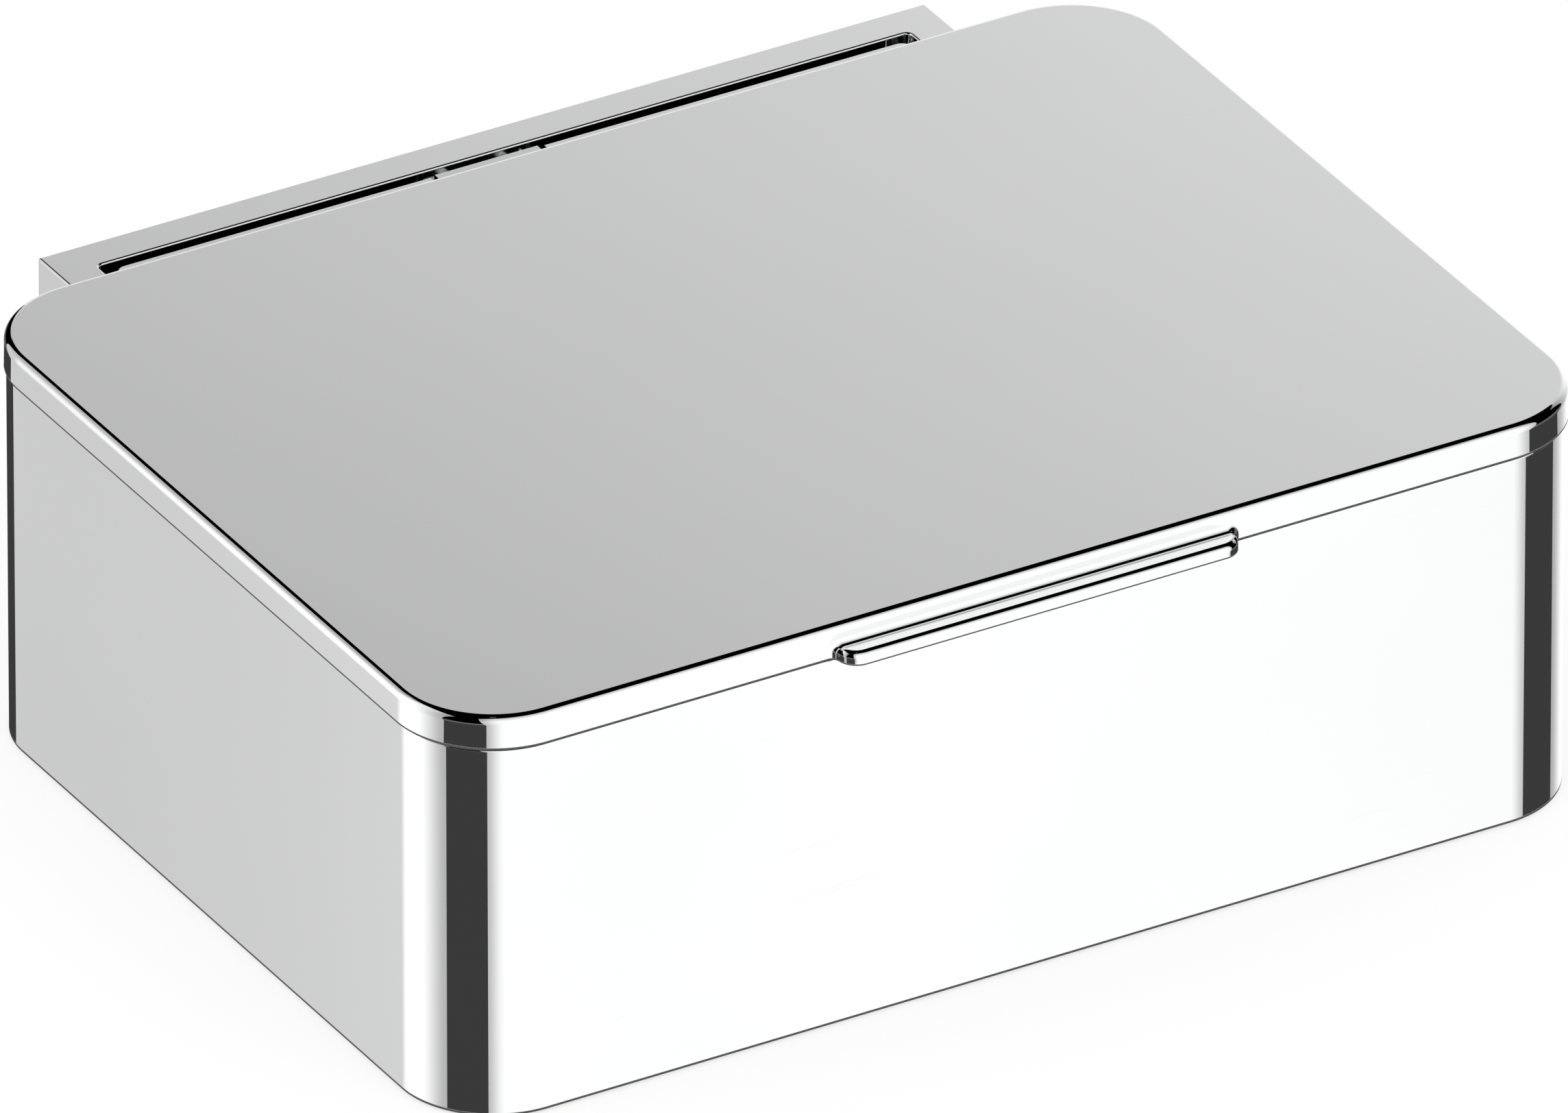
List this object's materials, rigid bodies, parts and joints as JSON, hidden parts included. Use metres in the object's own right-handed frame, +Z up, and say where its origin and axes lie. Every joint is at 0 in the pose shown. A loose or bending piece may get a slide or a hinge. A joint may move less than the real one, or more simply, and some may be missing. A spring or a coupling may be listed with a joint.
{
  "type": "wet wipes box with a wall bracket",
  "caption": "Polished wipes box with rounded corners, a flat lid with a narrow grip ledge, a rear pin hinge in a wall bracket and a lift-out inner tray.",
  "frame": {"origin": "on the base plane, in the middle of the overall width and depth", "axes": "+X to the right across the front, +Y from the grip towards the wall, +Z up"},
  "size_m": [0.1938, 0.1634, 0.0668],
  "materials": {
    "shell_chrome": "polished",
    "lid_chrome": "polished",
    "bracket_chrome": "polished",
    "leaf_chrome": "polished",
    "knuckle_steel": "satin",
    "pin_steel": "ground",
    "plate_steel": "zinc plated",
    "screw_steel": "satin",
    "washer_steel": "satin",
    "tray_plastic": "fine matt",
    "liner_plastic": "fine matt",
    "bush_plastic": "natural",
    "pad_silicone": "soft matt",
    "seal_silicone": "soft matt"
  },
  "bodies": {
    "box": {"body_shell": "shell_chrome", "bracket_housing": "bracket_chrome", "wall_plate": "plate_steel", "bracket_grub_screws": "screw_steel", "hinge_pin": "pin_steel", "pin_plug_screw": "screw_steel", "centre_knuckle": "knuckle_steel", "knuckle_screws": "screw_steel", "body_screws": "screw_steel", "body_washers": "washer_steel", "tray_liner": "tray_plastic", "tray_pad_front_left": "pad_silicone", "tray_pad_front_right": "pad_silicone", "tray_pad_rear_left": "pad_silicone", "tray_pad_rear_right": "pad_silicone"},
    "lid": {"lid_cover": "lid_chrome", "hinge_leaf": "leaf_chrome", "leaf_screws": "screw_steel", "lid_liner": "liner_plastic", "liner_screws": "screw_steel", "lid_seal": "seal_silicone", "bush_left_outer": "bush_plastic", "bush_left_inner": "bush_plastic", "bush_right_inner": "bush_plastic", "bush_right_outer": "bush_plastic"}
  },
  "joints": [
    {"name": "lid_hinge", "type": "hinge", "parent": "box", "child": "lid", "pos_m": [0, 0.07053, 0.0579], "axis": [-1, 0, 0], "range_deg": [0, 90]}
  ]
}
